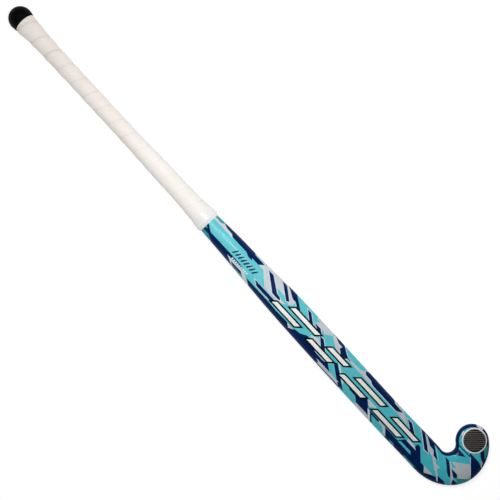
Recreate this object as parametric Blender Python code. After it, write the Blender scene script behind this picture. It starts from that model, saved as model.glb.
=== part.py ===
"""Field hockey stick: a moulded composite stick with a low bow, lying face down.

The stick is laid out along a station line: x = 0 at the butt and x = LENGTH at the heel, with y towards
the toe and z up out of the rounded back. Everything is worked out in millimetres on that line, then
moved so that the origin is at the bottom centre of the stick's box, and written in metres.
"""

from math import atan2, ceil, cos, hypot, pi, radians, sin, sqrt

import bmesh
import bpy

# Driving dimensions, in millimetres.
LENGTH = 927.0
HEAD_THICKNESS = 20.0
TOE_THICKNESS = 18.0
BOW = 18.5
BOW_PEAK = 610.0
BUTT_LIFT = 7.2

SKIN = 1.5
TUBE_WALL = 1.0
BLADDER_WALL = 0.5
FACE_PATCH = 0.8
PATCH_MARGIN = 11.0
GAP = 0.35

# Bare stick, station by station: x, heel-side half width, toe-side half width, thickness.
BARE_STICK = [
    (0, 13.2, 13.2, 26.4),
    (30, 13.3, 13.3, 26.4),
    (52, 11.6, 11.8, 23.2),
    (85, 10.5, 10.7, 21.2),
    (250, 10.4, 10.6, 21.0),
    (300, 11.4, 12.2, 22.6),
    (350, 11.9, 12.7, 23.4),
    (390, 13.8, 14.2, 24.6),
    (410, 15.4, 15.7, 25.0),
    (450, 17.0, 18.0, 24.2),
    (500, 19.3, 19.5, 23.0),
    (560, 21.8, 22.4, 22.0),
    (640, 23.2, 23.0, 21.2),
    (700, 23.8, 22.8, 21.0),
    (790, 24.0, 22.6, 20.4),
    (830, 23.4, 23.3, 20.1),
    (860, 23.2, 23.8, 20.0),
]

# The shaft's section: flat face below, rounded corners, domed back. The handle's section is an ellipse, so
# its corner radius is made larger than any section.
EDGE_RADIUS = 7.0
SIDE_HEIGHT = 8.5
DOME_POWER = 2.2
ROUND_CORNER = 1000.0
HANDLE_END = 400.0
SHAFT_START = 520.0

# The head in plan. The outer edge is a quarter ellipse and an arc, the toe an arc, the throat an arc.
HEAD_START = 860.0
HEEL_LEVEL = 34.0
HEEL_DEPTH = 57.2
UPPER_RADIUS = 59.6
TOE_RADIUS = 23.5
TOE_SWING = radians(57.0)
THROAT_RADIUS = 11.7
THROAT_SWING = radians(56.0)
FAN_END = radians(33.0)

UPPER_CENTRE = (LENGTH - UPPER_RADIUS, HEEL_LEVEL)
TOE_CENTRE = (
    UPPER_CENTRE[0] + (UPPER_RADIUS - TOE_RADIUS) * cos(TOE_SWING),
    UPPER_CENTRE[1] + (UPPER_RADIUS - TOE_RADIUS) * sin(TOE_SWING),
)
THROAT_CENTRE = (
    TOE_CENTRE[0] - (TOE_RADIUS + THROAT_RADIUS) * cos(THROAT_SWING),
    TOE_CENTRE[1] - (TOE_RADIUS + THROAT_RADIUS) * sin(THROAT_SWING),
)
HEEL_REACH = LENGTH - HEAD_START

# Handle, grip and cap.
BUTT_END = 9.5
CAP_RADIUS = 17.2
CAP_DOME = 17.0
CAP_RIM = 25.5
CAP_RIM_RADIUS = 16.2
PLUG_END = 36.0
TUBE_START = 38.0
TUBE_END = 842.0
GRIP_START = 26.2
GRIP_END = 404.0
UNDERLAY_END = 402.0
UNDERLAY_THICKNESS = 0.8
GRIP_THICKNESS = 0.8
COLLAR_START = 392.5
COLLAR_END = 409.5

# Decals on the back: two rows of slanted bars, and one round badge on the toe.
DECAL_THICKNESS = 0.2
BAR_HEIGHT = 9.6
BAR_ROWS = {"upper": 0.6, "lower": -12.4}
BAR_SPANS = {
    "upper": [(567, 633), (642, 692), (701, 769), (778, 838)],
    "lower": [(543, 605), (614, 672), (681, 741), (750, 817)],
}
BADGE_CENTRE = (887.1, 66.4)
BADGE_RADIUS = 17.9

# Mesh fineness. All sections of the shaft share one set of stations, so that nested pieces keep their
# gaps.
SECTION_POINTS = 18
SHAFT_STEP = 32.0
TIP_FLAT = 0.3
FAN_STEP = radians(12)
TOE_STEP = 5.0
TIP_STEP = radians(16)
CAP_STEP = radians(13)
PATCH_STEPS = (radians(15), 7.0)
BAR_STEP = (14.0, 2.4)
BADGE_POINTS = 24
BADGE_RINGS = (1.0, 0.7, 0.35)
MM = 0.001


def mix(low, high, share):
    return low + (high - low) * share


def smooth_step(low, high, value):
    """Goes smoothly from 0 at low to 1 at high."""
    share = min(max((value - low) / (high - low), 0.0), 1.0)
    return share * share * (3 - 2 * share)


def along(stations, column, x):
    """Reads one column of a station list at x, on a smooth curve through the stations."""
    last = len(stations) - 1
    x = min(max(x, stations[0][0]), stations[last][0])
    i = 0
    while i < last - 1 and x > stations[i + 1][0]:
        i += 1
    slopes = []
    for j in (i, i + 1):
        before, after = stations[max(j - 1, 0)], stations[min(j + 1, last)]
        slopes.append((after[column] - before[column]) / (after[0] - before[0]))
    span = stations[i + 1][0] - stations[i][0]
    share = (x - stations[i][0]) / span
    start, end = stations[i][column], stations[i + 1][column]
    curve = start * (1 + 2 * share) * (1 - share) ** 2 + end * share * share * (3 - 2 * share)
    return curve + span * (slopes[0] * share * (1 - share) ** 2 - slopes[1] * share * share * (1 - share))


def bow_height(x):
    """Lift of the stick's middle line over its line at the head."""
    if x >= HEAD_START:
        return 0.0
    if x >= BOW_PEAK:
        return BOW * smooth_step(HEAD_START, BOW_PEAK, x)
    reach = (BOW_PEAK - x) / (BOW_PEAK - CAP_DOME)
    return BOW - (BOW - BUTT_LIFT) * reach * reach


class Station:
    """One cross-section: where its chord runs in plan, and the heights of its face and back."""

    def __init__(self, heel_end, toe_end, thickness, lift=0.0, roundness=0.0, tip_depth=LENGTH):
        self.heel_end = heel_end
        self.toe_end = toe_end
        self.length = hypot(toe_end[0] - heel_end[0], toe_end[1] - heel_end[1])
        self.low = lift
        self.high = lift + thickness
        self.side = lift + mix(SIDE_HEIGHT, thickness / 2, roundness)
        self.corner = mix(EDGE_RADIUS, ROUND_CORNER, roundness)
        self.power = mix(DOME_POWER, 2.0, roundness)
        self.back_share = rounding(tip_depth, TOE_RADIUS)
        self.face_share = rounding(tip_depth, EDGE_RADIUS)

    def point(self, share, height):
        """A point at a share of the chord, from 0 at the heel side to 1 at the toe side."""
        x = mix(self.heel_end[0], self.toe_end[0], share)
        y = mix(self.heel_end[1], self.toe_end[1], share)
        return (x, y, height)

    def back(self, share, inset=0.0):
        """Height of the domed back."""
        off_middle = min(abs(2 * share - 1), 1.0)
        dome = (1 - off_middle**self.power) ** (1 / self.power)
        return self.side + (self.high - inset - self.side) * dome * self.back_share

    def face(self, share, inset=0.0):
        """Height of the flat face, with its rounded corners."""
        corner = min(max(self.corner - inset, 1.0), self.length / 2 - 1.0)
        from_edge = self.length * min(share, 1 - share)
        return self.side - (self.side - self.low - inset) * rounding(from_edge, corner) * self.face_share


def rounding(depth, radius):
    """Quarter-round profile: 0 at the edge, 1 from the radius inwards."""
    missing = 1 - min(max(depth / max(radius, 0.1), 0.0), 1.0)
    return sqrt(1 - missing * missing)


def shaft_station(x, inset=0.0):
    thickness = along(BARE_STICK, 3, x)
    lift = bow_height(x) - (thickness - HEAD_THICKNESS) / 2
    roundness = 1 - smooth_step(HANDLE_END, SHAFT_START, x)
    heel_side = inset - along(BARE_STICK, 1, x)
    toe_side = along(BARE_STICK, 2, x) - inset
    return Station((x, heel_side), (x, toe_side), thickness, lift, roundness)


def outer_reach(angle, inset):
    """Distance from the throat's centre to the head's outer edge, along a ray at this angle."""
    if THROAT_CENTRE[1] + UPPER_RADIUS * sin(angle) < HEEL_LEVEL:
        centre, width, depth = (HEAD_START, HEEL_LEVEL), HEEL_REACH - inset, HEEL_DEPTH - inset
    else:
        centre, width, depth = UPPER_CENTRE, UPPER_RADIUS - inset, UPPER_RADIUS - inset
    start = ((THROAT_CENTRE[0] - centre[0]) / width, (THROAT_CENTRE[1] - centre[1]) / depth)
    step = (cos(angle) / width, sin(angle) / depth)
    a = step[0] ** 2 + step[1] ** 2
    b = start[0] * step[0] + start[1] * step[1]
    c = start[0] ** 2 + start[1] ** 2 - 1
    return (sqrt(b * b - a * c) - b) / a


def fan_station(angle, inset=0.0):
    """A section of the head's bend, on a ray from the throat's centre."""
    reach = outer_reach(angle, inset)
    near = THROAT_RADIUS + inset
    thickness = mix(HEAD_THICKNESS, TOE_THICKNESS, (angle + pi / 2) / (FAN_END + pi / 2))
    ends = []
    for distance in (reach, near):
        ends.append((THROAT_CENTRE[0] + distance * cos(angle), THROAT_CENTRE[1] + distance * sin(angle)))
    return Station(ends[0], ends[1], thickness)


def toe_axes(x, y):
    """Plan point to toe axes: along the last ray of the fan, and up the toe at right angles to it."""
    dx, dy = x - THROAT_CENTRE[0], y - THROAT_CENTRE[1]
    return dx * cos(FAN_END) + dy * sin(FAN_END), dy * cos(FAN_END) - dx * sin(FAN_END)


def from_toe_axes(across, up):
    x = THROAT_CENTRE[0] + across * cos(FAN_END) - up * sin(FAN_END)
    y = THROAT_CENTRE[1] + across * sin(FAN_END) + up * cos(FAN_END)
    return (x, y)


TOE_ACROSS, TOE_UP = toe_axes(*TOE_CENTRE)
UPPER_ACROSS, UPPER_UP = toe_axes(*UPPER_CENTRE)
TOE_TIP = TOE_UP + TOE_RADIUS


def toe_station(up, inset=0.0):
    """A section of the toe, this far up from the last ray of the fan."""
    toe_radius = TOE_RADIUS - inset
    toe_half = sqrt(max(toe_radius**2 - (up - TOE_UP) ** 2, 0.0))
    if up < (THROAT_RADIUS + inset) * sin(THROAT_SWING - FAN_END):
        near = sqrt((THROAT_RADIUS + inset) ** 2 - up**2)
    else:
        near = TOE_ACROSS - toe_half
    if up < TOE_UP + toe_radius * sin(TOE_SWING - FAN_END):
        far = UPPER_ACROSS + sqrt((UPPER_RADIUS - inset) ** 2 - (up - UPPER_UP) ** 2)
    else:
        far = TOE_ACROSS + toe_half
    ends = from_toe_axes(far, up), from_toe_axes(near, up)
    return Station(ends[0], ends[1], TOE_THICKNESS, tip_depth=TOE_TIP - inset - up)


def steps(start, end, spacing):
    """Even steps from start to end, both included, no further apart than the spacing."""
    count = max(1, ceil(abs(end - start) / spacing - 1e-6))
    return [mix(start, end, i / count) for i in range(count + 1)]


def shaft_places(start, end):
    """The two ends, and the shared stations of the shaft between them."""
    places = [SHAFT_STEP * i for i in range(ceil(LENGTH / SHAFT_STEP))]
    clear = SHAFT_STEP / 8
    return [start] + [x for x in places if start + clear < x < end - clear] + [end]


def shaft_stations(start, end, inset=0.0):
    return [shaft_station(x, inset) for x in shaft_places(start, end)]


def head_stations(inset=0.0):
    """Sections from just past the shaft, round the bend and up the toe to its tip."""
    stations = [fan_station(angle, inset) for angle in steps(-pi / 2, FAN_END, FAN_STEP)]
    rise = TOE_RADIUS - inset
    stations += [toe_station(up, inset) for up in steps(0, TOE_UP, TOE_STEP)[1:]]
    for turn in steps(0, pi / 2, TIP_STEP)[1:-1]:
        stations.append(toe_station(TOE_UP + rise * sin(turn), inset))
    stations.append(toe_station(TOE_UP + rise - TIP_FLAT, inset))
    return stations


def chord_shares():
    """Places across a section from its toe side to its heel side, close together at the edges."""
    half = SECTION_POINTS // 2
    return [(1 + cos(pi * i / half)) / 2 for i in range(half + 1)]


def whole_ring(station, inset=0.0, raise_face=0.0):
    """Closed ring round a section: over the back from the toe side, then under the face."""
    shares = chord_shares()
    ring = [station.point(share, station.back(share, inset)) for share in shares]
    for share in reversed(shares[1:-1]):
        ring.append(station.point(share, station.face(share, inset) + raise_face))
    return ring


def half_ring(station, inset, web, side):
    """Closed ring round one side of a section, from a flat web near its middle to the stick's edge."""
    edge_shares = chord_shares()[: SECTION_POINTS // 4]
    shares = [0.5 + web / station.length] + edge_shares[::-1]
    if side < 0:
        shares = [1 - share for share in shares]
    ring = [station.point(share, station.back(share, inset)) for share in shares]
    for share in reversed(shares[:-1]):
        ring.append(station.point(share, station.face(share, inset)))
    return ring


def back_height(x, y):
    """Height of the back over any plan point of the stick."""
    if x < HEAD_START:
        station = shaft_station(x)
    else:
        across, up = toe_axes(x, y)
        if up > 0 and across > 0:
            station = toe_station(up)
        else:
            station = fan_station(atan2(y - THROAT_CENTRE[1], x - THROAT_CENTRE[0]))
    from_heel = hypot(x - station.heel_end[0], y - station.heel_end[1])
    return station.back(from_heel / station.length)


def to_frame(point):
    """Station-line millimetres to the stick's own frame in metres."""
    x, y, z = point
    widest_heel_side = max(station[1] for station in BARE_STICK)
    middle_y = (TOE_CENTRE[1] + TOE_RADIUS - widest_heel_side) / 2
    return ((x - LENGTH / 2) * MM, (y - middle_y) * MM, z * MM)


def add_ring(bm, ring):
    return [bm.verts.new(to_frame(point)) for point in ring]


def join_rings(bm, first, second):
    count = len(first)
    for i in range(count):
        j = (i + 1) % count
        bm.faces.new((first[i], first[j], second[j], second[i]))


def add_surface(bm, rings):
    verts = [add_ring(bm, ring) for ring in rings]
    for first, second in zip(verts, verts[1:]):
        join_rings(bm, first, second)
    return verts


def make_object(name, bm, material):
    """Turns a closed bmesh into a named object, smooth except at real edges."""
    bmesh.ops.recalc_face_normals(bm, faces=bm.faces)
    bmesh.ops.triangulate(bm, faces=[face for face in bm.faces if len(face.verts) > 4])
    mesh = bpy.data.meshes.new(name)
    bm.to_mesh(mesh)
    bm.free()
    mesh.shade_smooth()
    mesh.set_sharp_from_angle(angle=radians(40))
    mesh.materials.append(material)
    piece = bpy.data.objects.new(name, mesh)
    bpy.context.scene.collection.objects.link(piece)
    return piece


def solid(name, rings, material):
    """A solid lofted through rings, with both ends closed."""
    bm = bmesh.new()
    verts = add_surface(bm, rings)
    bm.faces.new(verts[0])
    bm.faces.new(verts[-1])
    return make_object(name, bm, material)


def cup(name, outer, inner, material):
    """A hollow solid, open where both surfaces start and closed at their far ends."""
    bm = bmesh.new()
    outside = add_surface(bm, outer)
    inside = add_surface(bm, inner)
    join_rings(bm, outside[0], inside[0])
    bm.faces.new(outside[-1])
    bm.faces.new(inside[-1])
    return make_object(name, bm, material)


def sleeve(name, outer, inner, material):
    """A hollow solid, open at both ends."""
    bm = bmesh.new()
    outside = add_surface(bm, outer)
    inside = add_surface(bm, inner)
    join_rings(bm, outside[0], inside[0])
    join_rings(bm, outside[-1], inside[-1])
    return make_object(name, bm, material)


def paint(name, color, roughness, metallic=0.0, coat=0.0):
    material = bpy.data.materials.new(name)
    material.use_nodes = True
    shader = material.node_tree.nodes["Principled BSDF"]
    shader.inputs["Base Color"].default_value = (*color, 1.0)
    shader.inputs["Roughness"].default_value = roughness
    shader.inputs["Metallic"].default_value = metallic
    shader.inputs["Coat Weight"].default_value = coat
    return material


def make_composite_skin():
    """The moulded outer laminate: one shell from the butt to the toe, open at the butt."""
    material = paint("lacquered_composite", (0.06, 0.42, 0.46), 0.28, coat=0.5)
    outer = shaft_stations(BUTT_END, HEAD_START) + head_stations()
    inner = shaft_stations(BUTT_END, HEAD_START, SKIN) + head_stations(SKIN)
    cup(
        "composite_skin",
        [whole_ring(station) for station in outer],
        [whole_ring(station, SKIN) for station in inner],
        material,
    )


def make_inner_tube(name, side, inset, wall, web, material):
    """One of the two side-by-side tubes that fill the shaft, with flat webs back to back."""
    outer, inner = [], []
    for x in shaft_places(TUBE_START, TUBE_END):
        outer.append(half_ring(shaft_station(x, inset), inset, web, side))
        inner.append(half_ring(shaft_station(x, inset + wall), inset + wall, web + wall, side))
    sleeve(name, outer, inner, material)


def make_tubes_and_bladders():
    tube_material = paint("carbon_laminate", (0.03, 0.03, 0.035), 0.45)
    bladder_material = paint("nylon_film", (0.75, 0.76, 0.72), 0.35)
    tube_inset = SKIN + GAP
    bladder_inset = tube_inset + TUBE_WALL + GAP
    bladder_web = GAP + TUBE_WALL + GAP
    for side_name, side in (("toe_side", 1), ("heel_side", -1)):
        make_inner_tube(f"{side_name}_tube", side, tube_inset, TUBE_WALL, GAP, tube_material)
        bladder_name = f"{side_name}_bladder"
        make_inner_tube(bladder_name, side, bladder_inset, BLADDER_WALL, bladder_web, bladder_material)


def make_head_core():
    """The foam core that fills the head past the tubes."""
    material = paint("foam_core", (0.83, 0.74, 0.5), 0.9)
    inset = SKIN + GAP
    stations = [shaft_station(TUBE_END + 2, inset)] + head_stations(inset)
    rings = []
    for station in stations:
        rings.append(whole_ring(station, inset, raise_face=FACE_PATCH + GAP))
    solid("head_foam_core", rings, material)


def make_face_patch():
    """The reinforcing laminate behind the flat face of the head, between skin and core."""
    material = paint("aramid_patch", (0.72, 0.58, 0.14), 0.6)
    low = SKIN + GAP
    stations = [fan_station(angle) for angle in steps(-pi / 2, FAN_END, PATCH_STEPS[0])]
    stations += [toe_station(up) for up in steps(0, TOE_UP, PATCH_STEPS[1])[1:]]
    rings = []
    for station in stations:
        margin = PATCH_MARGIN / station.length
        near = [station.point(share, low) for share in (margin, 1 - margin)]
        far = [station.point(share, low + FACE_PATCH) for share in (1 - margin, margin)]
        rings.append(near + far)
    solid("face_reinforcement_patch", rings, material)


def make_handle_plug():
    """The foam plug that closes the bore of the handle."""
    material = paint("rigid_foam", (0.2, 0.2, 0.2), 0.8)
    inset = SKIN + GAP
    rings = [whole_ring(station, inset) for station in shaft_stations(BUTT_END, PLUG_END, inset)]
    solid("handle_plug", rings, material)


def round_ring(x, radius):
    """A round ring about the handle's middle line."""
    station = shaft_station(x)
    middle = (station.low + station.high) / 2
    turns = [2 * pi * i / SECTION_POINTS for i in range(SECTION_POINTS)]
    return [(x, radius * cos(turn), middle + radius * sin(turn)) for turn in turns]


def make_butt_cap():
    """The rubber cap pushed over the end of the handle: a dome with a short skirt."""
    material = paint("black_rubber", (0.012, 0.012, 0.012), 0.55)
    outer = [round_ring(CAP_RIM, CAP_RIM_RADIUS), round_ring(mix(CAP_DOME, CAP_RIM, 0.5), CAP_RADIUS - 0.2)]
    for turn in steps(0, pi / 2, CAP_STEP)[:-1]:
        outer.append(round_ring(CAP_DOME * (1 - sin(turn)), CAP_RADIUS * cos(turn)))
    outer.append(round_ring(0.0, 1.0))
    bore = along(BARE_STICK, 1, CAP_DOME) + GAP
    inner = [round_ring(x, bore) for x in (CAP_RIM, mix(BUTT_END, CAP_RIM, 0.5), BUTT_END - GAP)]
    cup("butt_cap", outer, inner, material)


def handle_sleeve(name, start, end, outset, thickness, material):
    """A sleeve of even thickness round the handle."""
    outer, inner = [], []
    for x in shaft_places(start, end):
        outer.append(whole_ring(shaft_station(x, -outset - thickness), -outset - thickness))
        inner.append(whole_ring(shaft_station(x, -outset), -outset))
    sleeve(name, outer, inner, material)


def make_grip():
    """The cushion underlay, and the tape wound over it."""
    cushion = paint("grey_cushion_foam", (0.35, 0.35, 0.36), 0.9)
    tape = paint("white_grip_tape", (0.84, 0.8, 0.77), 0.62)
    handle_sleeve("grip_underlay", GRIP_START, UNDERLAY_END, GAP, UNDERLAY_THICKNESS, cushion)
    outset = 2 * GAP + UNDERLAY_THICKNESS
    handle_sleeve("grip_tape", GRIP_START, GRIP_END, outset, GRIP_THICKNESS, tape)


def make_collar():
    """The finishing tape that holds down the end of the grip and runs on to the bare shaft."""
    material = paint("white_finishing_tape", (0.85, 0.84, 0.86), 0.3)
    over_grip = 3 * GAP + UNDERLAY_THICKNESS + GRIP_THICKNESS
    # Station, distance over the bare stick, thickness.
    profile = [
        (COLLAR_START, over_grip, 0.3),
        (COLLAR_START + 3, over_grip, 0.8),
        (GRIP_END - 2, over_grip, 0.8),
        (GRIP_END + 1, over_grip, 0.4),
        (GRIP_END + 3, GAP, 0.7),
        (COLLAR_END, GAP, 0.3),
    ]
    outer, inner = [], []
    for x, outset, thickness in profile:
        outer.append(whole_ring(shaft_station(x, -outset - thickness), -outset - thickness))
        inner.append(whole_ring(shaft_station(x, -outset), -outset))
    sleeve("grip_end_collar", outer, inner, material)


def film(name, rows, material):
    """A thin film laid on the back: a grid of plan points, given a lower and an upper surface."""
    bm = bmesh.new()
    layers = []
    for lift in (GAP, GAP + DECAL_THICKNESS):
        layer = []
        for row in rows:
            layer.append(add_ring(bm, [(x, y, back_height(x, y) + lift) for x, y in row]))
        layers.append(layer)
    for layer in layers:
        for first, second in zip(layer, layer[1:]):
            for i in range(len(first) - 1):
                bm.faces.new((first[i], first[i + 1], second[i + 1], second[i]))
    join_rings(bm, grid_rim(layers[0]), grid_rim(layers[1]))
    make_object(name, bm, material)


def grid_rim(layer):
    """The vertices round the edge of a grid, in order."""
    right = [row[-1] for row in layer[1:-1]]
    left = [row[0] for row in layer[1:-1]]
    return layer[0] + right + layer[-1][::-1] + left[::-1]


def make_bar_decals():
    """Slanted bars with ends at 45 degrees, in two staggered rows."""
    material = paint("white_film", (0.8, 0.78, 0.75), 0.35)
    for row_name, low in BAR_ROWS.items():
        for number, (start, end) in enumerate(BAR_SPANS[row_name], 1):
            rows = []
            for rise in steps(0, BAR_HEIGHT, BAR_STEP[1]):
                rows.append([(x + rise, low + rise) for x in steps(start, end - BAR_HEIGHT, BAR_STEP[0])])
            film(f"{row_name}_bar_decal_{number}", rows, material)


def badge_ring(radius, lift):
    """A ring about the badge's centre, at a height over the back."""
    ring = []
    for i in range(BADGE_POINTS):
        x = BADGE_CENTRE[0] + radius * cos(2 * pi * i / BADGE_POINTS)
        y = BADGE_CENTRE[1] + radius * sin(2 * pi * i / BADGE_POINTS)
        ring.append((x, y, back_height(x, y) + lift))
    return ring


def make_badge():
    """The round badge on the toe, laid over its dome."""
    material = paint("dark_badge", (0.03, 0.028, 0.026), 0.4)
    bm = bmesh.new()
    layers = []
    for lift in (GAP, GAP + 2 * DECAL_THICKNESS):
        rings = [badge_ring(BADGE_RADIUS * share, lift) for share in BADGE_RINGS]
        layers.append(add_surface(bm, rings))
        middle = bm.verts.new(to_frame((*BADGE_CENTRE, back_height(*BADGE_CENTRE) + lift)))
        inner = layers[-1][-1]
        for i in range(BADGE_POINTS):
            bm.faces.new((inner[i], inner[(i + 1) % BADGE_POINTS], middle))
    join_rings(bm, layers[0][0], layers[1][0])
    make_object("toe_badge", bm, material)


def main():
    for old in list(bpy.data.objects):
        bpy.data.objects.remove(old)
    make_composite_skin()
    make_tubes_and_bladders()
    make_head_core()
    make_face_patch()
    make_handle_plug()
    make_butt_cap()
    make_grip()
    make_collar()
    make_bar_decals()
    make_badge()


main()
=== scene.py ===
"""Looks of the field hockey stick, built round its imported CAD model.

The stick lies face down. Plan positions are written in millimetres on the stick's station line: x runs
from 0 at the butt to LENGTH at the heel, y is towards the toe and z is up out of the rounded back. The
pieces are moved from there to the frame's own box, in metres.
"""

from math import atan2, ceil, cos, floor, hypot, pi, radians, sin, sqrt

import bmesh
import bpy
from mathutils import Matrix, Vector, noise


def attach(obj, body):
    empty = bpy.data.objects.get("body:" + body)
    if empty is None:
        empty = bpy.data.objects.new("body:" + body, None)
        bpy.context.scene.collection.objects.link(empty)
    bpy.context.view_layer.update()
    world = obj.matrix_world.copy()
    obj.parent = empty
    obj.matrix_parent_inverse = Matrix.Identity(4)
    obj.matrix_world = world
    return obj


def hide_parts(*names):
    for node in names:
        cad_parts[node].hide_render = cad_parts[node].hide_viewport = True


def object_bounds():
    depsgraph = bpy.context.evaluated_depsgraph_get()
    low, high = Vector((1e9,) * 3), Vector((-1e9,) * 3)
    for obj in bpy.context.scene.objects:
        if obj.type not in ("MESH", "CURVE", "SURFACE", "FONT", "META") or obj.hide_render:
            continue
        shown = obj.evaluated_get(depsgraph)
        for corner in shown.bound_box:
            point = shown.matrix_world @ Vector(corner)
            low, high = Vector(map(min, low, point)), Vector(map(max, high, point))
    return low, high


MM = 0.001

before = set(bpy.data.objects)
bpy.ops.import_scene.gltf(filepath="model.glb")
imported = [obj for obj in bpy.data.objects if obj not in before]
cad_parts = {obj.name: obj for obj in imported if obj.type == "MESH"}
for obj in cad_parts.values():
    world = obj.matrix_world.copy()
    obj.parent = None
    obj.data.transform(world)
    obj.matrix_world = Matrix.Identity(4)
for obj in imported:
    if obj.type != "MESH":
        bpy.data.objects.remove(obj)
cad_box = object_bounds()
LENGTH = (cad_box[1][0] - cad_box[0][0]) / MM
ORIGIN = (cad_box[0][0], 0.0, cad_box[0][2])

# ---- Shape of the stick: the same driving dimensions as the CAD model.

HEAD_THICKNESS = 20.0
TOE_THICKNESS = 18.0
BOW = 18.5
BOW_PEAK = 610.0
BUTT_LIFT = 7.2

# Bare stick: x, heel-side half width, toe-side half width, thickness.
BARE_STICK = [
    (0, 13.2, 13.2, 26.4),
    (30, 13.3, 13.3, 26.4),
    (52, 11.6, 11.8, 23.2),
    (85, 10.5, 10.7, 21.2),
    (250, 10.4, 10.6, 21.0),
    (300, 11.4, 12.2, 22.6),
    (350, 11.9, 12.7, 23.4),
    (390, 13.8, 14.2, 24.6),
    (410, 15.4, 15.7, 25.0),
    (450, 17.0, 18.0, 24.2),
    (500, 19.3, 19.5, 23.0),
    (560, 21.8, 22.4, 22.0),
    (640, 23.2, 23.0, 21.2),
    (700, 23.8, 22.8, 21.0),
    (790, 24.0, 22.6, 20.4),
    (830, 23.4, 23.3, 20.1),
    (860, 23.2, 23.8, 20.0),
]

EDGE_RADIUS = 7.0
SIDE_HEIGHT = 8.5
DOME_POWER = 2.2
HANDLE_END = 400.0
SHAFT_START = 520.0

HEAD_START = 860.0
HEEL_LEVEL = 34.0
HEEL_DEPTH = 57.2
UPPER_RADIUS = 59.6
TOE_RADIUS = 23.5
TOE_SWING = radians(57.0)
THROAT_RADIUS = 11.7
THROAT_SWING = radians(56.0)
FAN_END = radians(33.0)
UNLIMITED = 1000.0  # a radius or depth that leaves a section as it is
MIDDLE_GAP = 0.4  # least way from the end of a rounded corner to the middle of the chord


def swung(centre, distance, turn):
    """The plan point at a distance from a centre, on a ray at this turn."""
    return (centre[0] + distance * cos(turn), centre[1] + distance * sin(turn))


UPPER_CENTRE = (LENGTH - UPPER_RADIUS, HEEL_LEVEL)
TOE_CENTRE = swung(UPPER_CENTRE, UPPER_RADIUS - TOE_RADIUS, TOE_SWING)
THROAT_CENTRE = swung(TOE_CENTRE, -TOE_RADIUS - THROAT_RADIUS, THROAT_SWING)
HEEL_REACH = LENGTH - HEAD_START

BUTT_END = 9.5
CAP_RADIUS = 17.2
CAP_DOME = 17.0
CAP_RIM = 25.5
GRIP_START = 26.2
GRIP_END = 404.0


def mix(low, high, share):
    return low + (high - low) * share


def smooth_step(low, high, value):
    share = min(max((value - low) / (high - low), 0.0), 1.0)
    return share * share * (3 - 2 * share)


def rounding(depth, radius):
    """Quarter-round profile: 0 at the edge, 1 from the radius inwards."""
    missing = 1 - min(max(depth / max(radius, 0.1), 0.0), 1.0)
    return sqrt(1 - missing * missing)


def along(stations, column, x):
    """Reads one column of a station list at x, on a smooth curve through the stations."""
    last = len(stations) - 1
    x = min(max(x, stations[0][0]), stations[last][0])
    i = 0
    while i < last - 1 and x > stations[i + 1][0]:
        i += 1
    slopes = []
    for j in (i, i + 1):
        before, after = stations[max(j - 1, 0)], stations[min(j + 1, last)]
        slopes.append((after[column] - before[column]) / (after[0] - before[0]))
    span = stations[i + 1][0] - stations[i][0]
    share = (x - stations[i][0]) / span
    start, end = stations[i][column], stations[i + 1][column]
    curve = start * (1 + 2 * share) * (1 - share) ** 2 + end * share * share * (3 - 2 * share)
    bend = slopes[0] * share * (1 - share) ** 2 - slopes[1] * share * share * (1 - share)
    return curve + span * bend


def bow_height(x):
    """Lift of the stick's middle line over its line at the head."""
    if x >= HEAD_START:
        return 0.0
    if x >= BOW_PEAK:
        return BOW * smooth_step(HEAD_START, BOW_PEAK, x)
    reach = (BOW_PEAK - x) / (BOW_PEAK - CAP_DOME)
    return BOW - (BOW - BUTT_LIFT) * reach * reach


class Station:
    """One cross-section: where its chord runs in plan, and the heights of its face and back."""

    def __init__(self, heel_end, toe_end, thickness, lift=0.0, roundness=0.0, tip_depth=UNLIMITED):
        self.heel_end = heel_end
        self.toe_end = toe_end
        self.length = hypot(toe_end[0] - heel_end[0], toe_end[1] - heel_end[1])
        self.low = lift
        self.high = lift + thickness
        self.side = lift + mix(SIDE_HEIGHT, thickness / 2, roundness)
        self.corner = min(mix(EDGE_RADIUS, UNLIMITED, roundness), self.length / 2 - MIDDLE_GAP)
        self.power = mix(DOME_POWER, 2.0, roundness)
        self.back_share = rounding(tip_depth, TOE_RADIUS)
        self.face_share = rounding(tip_depth, EDGE_RADIUS)

    def plan(self, share, beyond=0.0):
        """Plan point at a share of the chord, from the heel side to the toe side, and a way beyond it."""
        share += beyond / self.length
        x = mix(self.heel_end[0], self.toe_end[0], share)
        return (x, mix(self.heel_end[1], self.toe_end[1], share))

    def back(self, share):
        off_middle = min(abs(2 * share - 1), 1.0)
        dome = (1 - off_middle**self.power) ** (1 / self.power)
        return self.side + (self.high - self.side) * dome * self.back_share

    def face(self, share):
        from_edge = self.length * min(share, 1 - share)
        return self.side - (self.side - self.low) * rounding(from_edge, self.corner) * self.face_share


def shaft_station(x):
    thickness = along(BARE_STICK, 3, x)
    lift = bow_height(x) - (thickness - HEAD_THICKNESS) / 2
    roundness = 1 - smooth_step(HANDLE_END, SHAFT_START, x)
    return Station((x, -along(BARE_STICK, 1, x)), (x, along(BARE_STICK, 2, x)), thickness, lift, roundness)


def outer_reach(angle):
    """Distance from the throat's centre to the head's outer edge, along a ray at this angle."""
    if THROAT_CENTRE[1] + UPPER_RADIUS * sin(angle) < HEEL_LEVEL:
        centre, width, depth = (HEAD_START, HEEL_LEVEL), HEEL_REACH, HEEL_DEPTH
    else:
        centre, width, depth = UPPER_CENTRE, UPPER_RADIUS, UPPER_RADIUS
    start = ((THROAT_CENTRE[0] - centre[0]) / width, (THROAT_CENTRE[1] - centre[1]) / depth)
    step = (cos(angle) / width, sin(angle) / depth)
    a = step[0] ** 2 + step[1] ** 2
    b = start[0] * step[0] + start[1] * step[1]
    c = start[0] ** 2 + start[1] ** 2 - 1
    return (sqrt(b * b - a * c) - b) / a


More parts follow.
